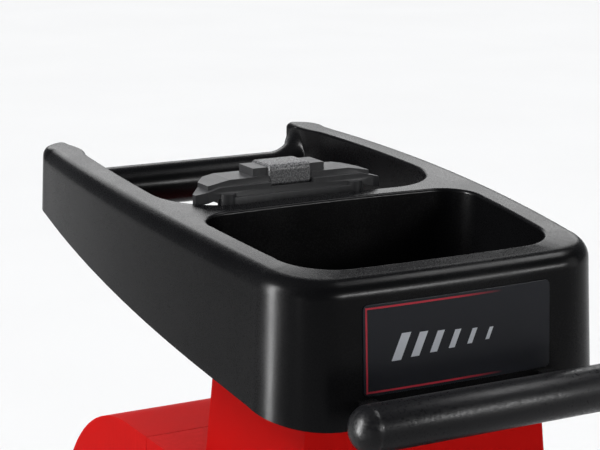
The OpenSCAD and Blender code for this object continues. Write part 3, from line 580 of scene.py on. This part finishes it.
def build_funnel():
    """The basin's floor, falling from the basin's outline to the throat."""
    basin = basin_loop()
    count = len(basin)
    low, high = FUNNEL_LOW, FUNNEL_HIGH
    middle = (low.y + high.y) / 2 - FRONT
    throat_x, throat_y = 85 * MM, 55 * MM
    throat_mid = 126 * MM

    def throat_point(x, d):
        """The point of the throat's rounded outline that faces a basin point."""
        ux, uy = x / (HALF - RIM_BAND), (d - middle) / ((high.y - low.y) / 2)
        power = 5
        scale = (abs(ux) ** power + abs(uy) ** power) ** (-1 / power)
        return ux * scale * throat_x, throat_mid + uy * scale * throat_y

    points, faces, rings = [], [], []
    steps = 10
    for step in range(steps + 1):
        f = step / steps
        ease = f * f * (3 - 2 * f)
        rings.append(len(points))
        for x, d in basin:
            tx, td = throat_point(x, d)
            points.append((
                x + (tx - x) * f, FRONT + d + (td - d) * f,
                high.z + (low.z + 4 * MM - high.z) * (0.35 * f + 0.65 * ease),
            ))
    rings.append(len(points))
    for x, d in basin:
        tx, td = throat_point(x, d)
        points.append((tx, FRONT + td, low.z - 3 * MM))
    for a, b in zip(rings, rings[1:]):
        faces += ring_faces(count, a, b)
    mesh = mesh_from("funnel_floor", points, faces)
    # the sheet's faces must look into the basin before it is thickened downwards
    sample = mesh.polygons[0]
    towards = Vector((0, FRONT + throat_mid, high.z + 1)) - sample.center
    if sample.normal.dot(towards) < 0:
        mesh.flip_normals()
    piece = add_object("funnel_floor", mesh, "chipper", hopper_plastic)
    thick = piece.modifiers.new("wall", "SOLIDIFY")
    thick.thickness = 2.4 * MM
    thick.offset = -1
    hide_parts("hopper_funnel")


def build_badge():
    """A thin plate with rounded corners that follows the skirt's front."""
    across, up = 48, 16
    corner = 4 * MM
    half_x = (BADGE_HIGH.x - BADGE_LOW.x) / 2 + 1 * MM
    mid_z, half_z = (BADGE_LOW.z + BADGE_HIGH.z) / 2, (BADGE_HIGH.z - BADGE_LOW.z) / 2 + 1 * MM

    def surface(x, z, proud):
        lean = SKIRT_LEAN * (rim_z(0) - EDGE_ROLL - z)
        return (x, FRONT + END_BOW * (x / PER_100) ** 2 - lean - proud, z)

    def width_at(z):
        over = abs(z - mid_z) - (half_z - corner)
        return half_x if over <= 0 else half_x - corner + math.sqrt(max(corner ** 2 - over ** 2, 0))

    rows = [mid_z - half_z * math.cos(math.pi * j / up) for j in range(up + 1)]
    points, faces = [], []
    for proud in (0.9 * MM, -0.5 * MM):  # before the skirt's face, and into it
        for z in rows:
            w = width_at(z)
            points += [surface(-w + 2 * w * i / across, z, proud) for i in range(across + 1)]
    layer = (across + 1) * (up + 1)
    for j in range(up):
        for i in range(across):
            a = j * (across + 1) + i
            quad = (a, a + 1, a + across + 2, a + across + 1)
            faces += [quad, tuple(layer + k for k in reversed(quad))]
    rim = list(range(across + 1))
    rim += [(across + 1) * j + across for j in range(1, up + 1)]
    rim += [(across + 1) * up + across - i for i in range(1, across + 1)]
    rim += [(across + 1) * (up - j) for j in range(1, up)]
    faces += [(rim[i - 1], rim[i], layer + rim[i], layer + rim[i - 1]) for i in range(len(rim))]
    mesh = mesh_from("badge_plate", points, faces)
    smooth_by_angle(mesh, 40)
    piece = add_object("badge_plate", mesh, "chipper", badge_plate())
    add_bevel(piece, 0.3 * MM, 2, 40)
    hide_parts("front_badge")


def build_bar():
    """The push bar: round, and swept up to the rim where it meets the arms."""
    radius = (BAR_HIGH.z - BAR_LOW.z) / 2
    cy, cz = (BAR_LOW.y + BAR_HIGH.y) / 2, (BAR_LOW.z + BAR_HIGH.z) / 2
    sweep = 30 * MM
    straight = ARM_INNER - sweep
    climb = rim_z(cy - FRONT) - 2 * MM - BAR_HIGH.z
    right = [straight * i / 12 for i in range(13)]
    right += [straight + sweep * math.sin(math.pi / 2 * i / 16) for i in range(1, 17)]
    right.append(ARM_INNER + 3 * MM)
    sides = 64
    points, faces, rings = [], [], []
    for x in [-x for x in reversed(right[1:])] + right:
        t = min(1.0, max(0.0, (abs(x) - straight) / sweep))
        grow = 1 - math.sqrt(1 - t * t)
        rings.append(len(points))
        for k in range(sides):
            a = 2 * math.pi * k / sides
            up = radius + (climb if math.sin(a) > 0 else -4 * MM) * grow
            across = radius + (7 * MM if math.cos(a) > 0 else 3 * MM) * grow
            points.append((x, cy + across * math.cos(a), cz + up * math.sin(a)))
    for a, b in zip(rings, rings[1:]):
        faces += ring_faces(sides, a, b)
    faces += [tuple(range(sides)), tuple(rings[-1] + k for k in reversed(range(sides)))]
    mesh = mesh_from("push_bar", points, faces)
    smooth_by_angle(mesh, 60)
    piece = add_object("push_bar", mesh, "chipper", hopper_plastic)
    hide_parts("rear_grip")


def build_front_grip():
    """The carrying grip: a soft sleeve with a shoulder before each domed end cap."""
    radius = (GRIP_HIGH.z - GRIP_LOW.z) / 2
    cy, cz = (GRIP_LOW.y + GRIP_HIGH.y) / 2, (GRIP_LOW.z + GRIP_HIGH.z) / 2
    half = GRIP_HIGH.x
    dome = 17 * MM
    right = [
        (half - dome * (1 - math.cos(math.pi / 2 * i / 12)), radius * math.sin(math.pi / 2 * i / 12))
        for i in range(1, 13)
    ]
    right += [(half - dome - 1.2 * MM, radius - 0.5 * MM), (half - dome - 2.4 * MM, radius)]
    line = [(-x, r) for x, r in right] + [(x, r) for x, r in reversed(right)]
    sides = 56
    points, faces, rings = [], [], []
    for x, r in line:
        rings.append(len(points))
        points += [
            (x, cy + r * math.cos(2 * math.pi * k / sides), cz + r * math.sin(2 * math.pi * k / sides))
            for k in range(sides)
        ]
    for a, b in zip(rings, rings[1:]):
        faces += ring_faces(sides, a, b)
    faces += [tuple(range(sides)), tuple(rings[-1] + k for k in reversed(range(sides)))]
    mesh = mesh_from("carrying_grip", points, faces)
    smooth_by_angle(mesh, 50)
    piece = add_object("carrying_grip", mesh, "chipper", grip_soft)
    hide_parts("front_grip")


def build_box():
    """The collection box: a tub with rails along its top and a slotted front."""
    low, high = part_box("collection_box")
    front_x, rail_x, tub_x, inner_x = (x * MM for x in (160, 158, 148, 145))
    slots = [((26 * i - 112) * MM, (26 * i - 96) * MM) for i in range(9)]
    slot_low, slot_high = 110 * MM, 230 * MM
    xs = [sign * x for sign in (-1, 1) for x in (front_x, rail_x, tub_x, inner_x)]
    xs = sorted(xs + [x for slot in slots for x in slot])
    ys = [low.y, low.y + 8 * MM, low.y + 11 * MM, high.y - 3 * MM, high.y]
    zs = [low.z, 46 * MM, 49 * MM, slot_low, slot_high, 410 * MM, 416 * MM, high.z]

    def filled(x, y, z):
        """True where the box has plastic: its front plate, then its rails, then its tub's walls."""
        slotted = slot_low < z < slot_high and any(a < x < b for a, b in slots)
        if y < ys[1]:
            return not slotted
        if z < zs[1] or z > zs[6]:
            return False
        if abs(x) > tub_x:
            return abs(x) < rail_x and z > zs[5]
        if y < ys[2]:
            return not slotted
        return z < zs[2] or abs(x) > inner_x or y > ys[3]

    # faces of the grid's filled cells, where they meet an empty one
    points, index, faces = [], {}, []

    def corner(i, j, k):
        if (i, j, k) not in index:
            index[i, j, k] = len(points)
            points.append((xs[i], ys[j], zs[k]))
        return index[i, j, k]

    def solid(i, j, k):
        if not (0 <= i < len(xs) - 1 and 0 <= j < len(ys) - 1 and 0 <= k < len(zs) - 1):
            return False
        return filled((xs[i] + xs[i + 1]) / 2, (ys[j] + ys[j + 1]) / 2, (zs[k] + zs[k + 1]) / 2)

    for i in range(len(xs) - 1):
        for j in range(len(ys) - 1):
            for k in range(len(zs) - 1):
                if not solid(i, j, k):
                    continue
                for axis in range(3):
                    for step in (0, 1):
                        beside = [i, j, k]
                        beside[axis] += 2 * step - 1
                        if solid(*beside):
                            continue
                        quad = []
                        for pair in ([0, 0], [1, 0], [1, 1], [0, 1]):
                            shift = pair[:axis] + [step] + pair[axis:]
                            quad.append(corner(i + shift[0], j + shift[1], k + shift[2]))
                        faces.append(quad)
    mesh = mesh_from("box_shell", points, faces)
    smooth_by_angle(mesh, 30)
    piece = add_object("box_shell", mesh, "collection_box", box_grey)
    add_bevel(piece, 1.4 * MM)
    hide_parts("collection_box")


build_hopper()
build_funnel()
build_box()
build_badge()
build_bar()
build_front_grip()

# ------------------------------------------------------------------ CAD nodes with rounded edges
BODY_OF = {node: body for body, nodes in frame["record"]["behaviour"]["bodies"].items() for node in nodes}
ROUNDED = {
    "front_housing": (body_red, "body_red", 5 * MM),
    "motor_cover": (body_red, "body_red", 5 * MM),
    "front_grip_brackets": (hopper_plastic, "hopper_plastic", 2.5 * MM),
    "pusher_head": (pusher_plastic, "pusher_plastic", 1.5 * MM),
    "pusher_grip": (pusher_soft, "grip_soft", 2.5 * MM),
    "pusher_blade": (pusher_plastic, "pusher_plastic", 1.5 * MM),
    "pusher_holder": (trim_black, "trim_black", 1.5 * MM),
    "switch_panel": (trim_black, "trim_black", 1.2 * MM),
    "start_button": (button_green, "button_green", 1.5 * MM),
    "stop_button": (button_red, "button_red", 1.5 * MM),
    "reset_button": (trim_black, "trim_black", 1 * MM),
    "direction_knob": (trim_black, "trim_black", 1.2 * MM),
    "mains_inlet": (trim_black, "trim_black", 1.2 * MM),
    "vent_grilles": (trim_black, "trim_black", 0.8 * MM),
    "adjusting_knob": (button_red, "button_red", 1.5 * MM),
    "base_deck": (base_black, "base_black", 3 * MM),
    "base_side_left": (base_black, "base_black", 2.5 * MM),
    "base_side_right": (base_black, "base_black", 2.5 * MM),
    "base_rear_beam": (base_black, "base_black", 2 * MM),
    "wheel_left_tyre": (tyre_rubber, "tyre", 2.5 * MM),
    "wheel_right_tyre": (tyre_rubber, "tyre", 2.5 * MM),
    "wheel_left_rim": (wheel_red, "wheel_red", 1.5 * MM),
    "wheel_right_rim": (wheel_red, "wheel_red", 1.5 * MM),
    "wheel_axles": (zinc_steel, "zinc_steel", 1 * MM),
    "front_feet": (foot_rubber, "foot_rubber", 2 * MM),
    "box_handle": (button_red, "button_red", 2 * MM),
    "box_latch": (button_red, "button_red", 1.5 * MM),
    "cutting_roller": (cast_steel, "cast_steel", 0.8 * MM),
    "counter_plate": (cast_steel, "cast_alu", 1 * MM),
    "feed_chute": (trim_black, "trim_black", 0.8 * MM),
}
for node, (material, slot, width) in ROUNDED.items():
    rounded_copy(node, BODY_OF[node], material, width)

# CAD nodes whose shape is right as it is
BY_SLOT = {
    "zinc_steel": zinc_steel, "steel": steel, "cast_alu": cast_alu, "cast_steel": cast_steel,
    "brass_pins": brass_pins, "winding": winding, "motor_black": motor_black,
    "capacitor_white": capacitor_white, "trim_black": trim_black, "hopper_plastic": hopper_plastic,
    "body_red": body_red, "button_red": button_red, "base_black": base_black, "grip_soft": grip_soft,
    "badge": trim_black, "pusher_plastic": pusher_plastic, "button_green": button_green,
    "tyre": tyre_rubber, "wheel_red": wheel_red, "foot_rubber": foot_rubber, "box_grey": box_grey,
}
for part in frame["record"]["subparts"]:
    node = NODES[part["node"]]
    node.data.materials.clear()
    node.data.materials.append(BY_SLOT[part["material_slot"]])

# ------------------------------------------------------------------ floor, light and camera
def floor_material():
    g = Graph("floor")
    tone = g.blend(g.noise(0.8, 2), (0.8, 0.8, 0.8), (0.84, 0.84, 0.84))
    g.join(tone, g.shader.inputs["Base Color"])
    g.set(Roughness=0.9, Specular_IOR_Level=0.1)
    return g.material


def build_floor():
    mesh = bpy.data.meshes.new("floor")
    reach = 40
    corners = [(-reach, -reach, 0), (reach, -reach, 0), (reach, reach, 0), (-reach, reach, 0)]
    mesh.from_pydata(corners, [], [(0, 1, 2, 3)])
    floor = bpy.data.objects.new("floor", mesh)
    bpy.context.scene.collection.objects.link(floor)
    mesh.materials.append(floor_material())


def softbox(name, place, target, size, power, colour=(1, 1, 1)):
    """A lamp that shows only as a highlight."""
    data = bpy.data.lights.new(name, "AREA")
    data.shape = "RECTANGLE"
    data.size, data.size_y = size
    data.energy = power
    data.color = colour
    lamp = bpy.data.objects.new(name, data)
    lamp.location = place
    lamp.rotation_euler = (Vector(target) - Vector(place)).to_track_quat("-Z", "Y").to_euler()
    lamp.visible_camera = False
    lamp.visible_diffuse = False
    bpy.context.scene.collection.objects.link(lamp)


def build_world():
    """A dim studio: palest at the horizon, darker overhead."""
    world = bpy.data.worlds.new("studio")
    world.use_nodes = True
    nodes, links = world.node_tree.nodes, world.node_tree.links
    ramp = nodes.new("ShaderNodeValToRGB")
    ramp.color_ramp.elements[0].position = 0.0
    ramp.color_ramp.elements[0].color = (0.36, 0.37, 0.385, 1)
    ramp.color_ramp.elements[1].position = 0.55
    ramp.color_ramp.elements[1].color = (0.1, 0.105, 0.115, 1)
    split = nodes.new("ShaderNodeSeparateXYZ")
    links.new(nodes.new("ShaderNodeTexCoord").outputs["Generated"], split.inputs[0])
    links.new(split.outputs["Z"], ramp.inputs["Fac"])
    links.new(ramp.outputs["Color"], nodes["Background"].inputs["Color"])
    bpy.context.scene.world = world


def daylight(name, direction, strength, spread):
    """Even light for the floor and the body colours; it leaves no highlight."""
    data = bpy.data.lights.new(name, "SUN")
    data.energy = strength
    data.angle = math.radians(spread)
    lamp = bpy.data.objects.new(name, data)
    lamp.rotation_euler = Vector(direction).to_track_quat("-Z", "Y").to_euler()
    lamp.visible_glossy = False
    bpy.context.scene.collection.objects.link(lamp)


build_floor()
build_world()

HEAD = (0, 0, 0.9)
daylight("day", (0.42, -0.24, -0.88), 3.75, 60)
softbox("left_strip", (-2.7, 0.25, 1.35), (-0.16, FRONT + 0.03, 0.9), (0.42, 2.6), 520)
softbox("front_strip", (-2.3, -2.0, 0.9), HEAD, (0.35, 1.2), 5)
softbox("back_glow", (2.3, 4.2, 2.75), HEAD, (4.5, 1.5), 80)
softbox("front_right", (1.63, -3.0, 1.66), HEAD, (1.6, 0.4), 150)
softbox("front_top", (1.45, -0.25, 2.95), (0, FRONT, 0.9), (1.0, 0.6), 34)
softbox("top_left", (-2.6, 0.6, 3.0), HEAD, (0.5, 2.0), 10)
softbox("right_fill", (2.8, -1.6, 1.6), HEAD, (1.0, 2.0), 14)

camera_data = bpy.data.cameras.new("camera")
camera_data.lens = 110
camera_data.sensor_width = 36
camera = bpy.data.objects.new("camera", camera_data)
camera.location = (-0.806, FRONT - 1.212, 1.2755)
TURN, TILT = math.radians(28.5), math.radians(12.6)
gaze = Vector((math.sin(TURN) * math.cos(TILT), math.cos(TURN) * math.cos(TILT), -math.sin(TILT)))
camera.rotation_euler = gaze.to_track_quat("-Z", "Y").to_euler()
bpy.context.scene.collection.objects.link(camera)
bpy.context.scene.camera = camera
bpy.context.scene.view_settings.view_transform = "Standard"
